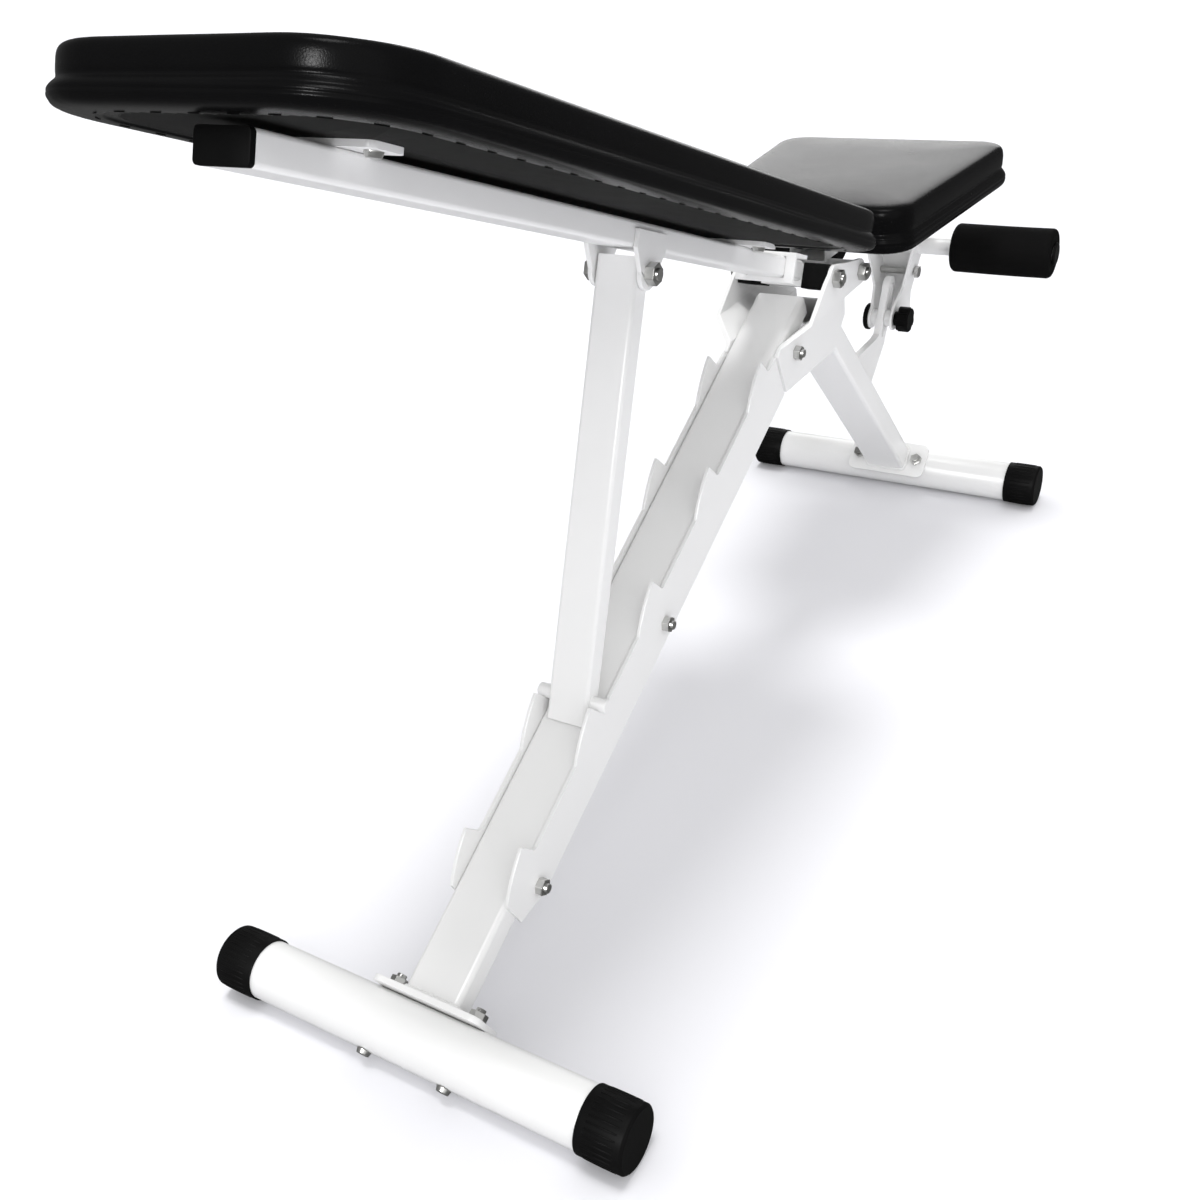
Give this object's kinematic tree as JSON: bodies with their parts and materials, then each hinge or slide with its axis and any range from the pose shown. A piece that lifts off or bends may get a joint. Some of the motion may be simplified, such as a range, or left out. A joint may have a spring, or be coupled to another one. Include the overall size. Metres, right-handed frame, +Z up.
{
  "type": "adjustable weight bench",
  "caption": "Adjustable weight bench with a ladder-propped backrest, a tilting seat, foam leg rollers and two cross-tube feet on a folded steel frame.",
  "frame": {"origin": "on the floor, under the centre of the bounding box", "axes": "+X along the bench from the backrest's head end towards the leg rollers, +Y to the left of someone facing +X, +Z up"},
  "size_m": [1.1327, 0.38, 0.7391],
  "materials": {
    "white_powder_coat": "satin",
    "black_vinyl": "satin",
    "black_plastic": "matte",
    "black_foam": "matte",
    "zinc_steel": "satin",
    "black_board": "matte"
  },
  "bodies": {
    "frame": {"rear_foot_tube": "white_powder_coat", "rear_foot_cap_left": "black_plastic", "rear_foot_cap_right": "black_plastic", "front_foot_tube": "white_powder_coat", "front_foot_cap_left": "black_plastic", "front_foot_cap_right": "black_plastic", "rear_saddle_plate": "white_powder_coat", "front_saddle_plate": "white_powder_coat", "foot_bolts": "zinc_steel", "frame_nuts": "zinc_steel", "main_post": "white_powder_coat", "front_leg": "white_powder_coat", "ladder_plate_left": "white_powder_coat", "ladder_plate_right": "white_powder_coat", "ladder_bolts": "zinc_steel", "head_plate_left": "white_powder_coat", "head_plate_right": "white_powder_coat", "hinge_bolts": "zinc_steel", "hinge_nuts": "zinc_steel", "seat_support_arm": "white_powder_coat"},
    "backrest": {"hinge_cross_tube": "white_powder_coat", "hinge_tube_cap_left": "black_plastic", "hinge_tube_cap_right": "black_plastic", "back_tube": "white_powder_coat", "back_tube_plug": "black_plastic", "back_end_collar": "white_powder_coat", "back_pad_bracket_front": "white_powder_coat", "back_pad_bracket_rear": "white_powder_coat", "back_pad_board": "black_board", "back_pad_cushion": "black_vinyl", "back_pad_screws": "zinc_steel", "back_pad_tee_nuts": "zinc_steel", "prop_ear_left": "white_powder_coat", "prop_ear_right": "white_powder_coat", "prop_pivot_bolt": "zinc_steel", "prop_pivot_nut": "zinc_steel"},
    "prop": {"prop_tube": "white_powder_coat", "prop_pivot_bush": "zinc_steel", "prop_catch_rod": "white_powder_coat"},
    "seat": {"seat_hinge_barrel": "white_powder_coat", "seat_tube": "white_powder_coat", "seat_tube_plug": "black_plastic", "seat_pad_bracket_rear": "white_powder_coat", "seat_pad_bracket_front": "white_powder_coat", "seat_board": "black_board", "seat_cushion": "black_vinyl", "seat_screws": "zinc_steel", "seat_tee_nuts": "zinc_steel", "roller_bracket": "white_powder_coat", "roller_bracket_bolt": "zinc_steel", "roller_bracket_nut": "zinc_steel", "roller_bar": "white_powder_coat", "roller_bar_plug_left": "black_plastic", "roller_bar_plug_right": "black_plastic", "seat_lock_nut": "black_plastic", "seat_lock_spacers": "white_powder_coat"},
    "lock_knob": {"seat_lock_knob": "black_plastic", "seat_lock_stud": "zinc_steel"},
    "roller_left": {"foam_roller_left": "black_foam"},
    "roller_right": {"foam_roller_right": "black_foam"}
  },
  "joints": [
    {"name": "back_tilt", "type": "hinge", "parent": "frame", "child": "backrest", "pos_m": [0.17576, 0, 0.399], "axis": [0, 1, 0], "range_deg": [0, 40]},
    {"name": "prop_swing", "type": "hinge", "parent": "backrest", "child": "prop", "pos_m": [-0.15403, 0, 0.5031], "axis": [0, 1, 0], "range_deg": [-60, 0]},
    {"name": "seat_tilt", "type": "hinge", "parent": "frame", "child": "seat", "pos_m": [0.24776, 0, 0.384], "axis": [0, -1, 0], "range_deg": [-4, 8]},
    {"name": "lock_knob_turn", "type": "hinge", "parent": "seat", "child": "lock_knob", "pos_m": [0.47776, -0.025, 0.252], "axis": [0, 1, 0], "range_deg": [0, 360]},
    {"name": "roller_left_spin", "type": "hinge", "parent": "seat", "child": "roller_left", "pos_m": [0.52076, 0.129, 0.331], "axis": [0, 1, 0], "continuous": true},
    {"name": "roller_right_spin", "type": "hinge", "parent": "seat", "child": "roller_right", "pos_m": [0.52076, -0.129, 0.331], "axis": [0, 1, 0], "continuous": true}
  ],
  "couplings": [
    {"joint": "prop_swing", "follows": "back_tilt", "ratio": -1.5}
  ]
}
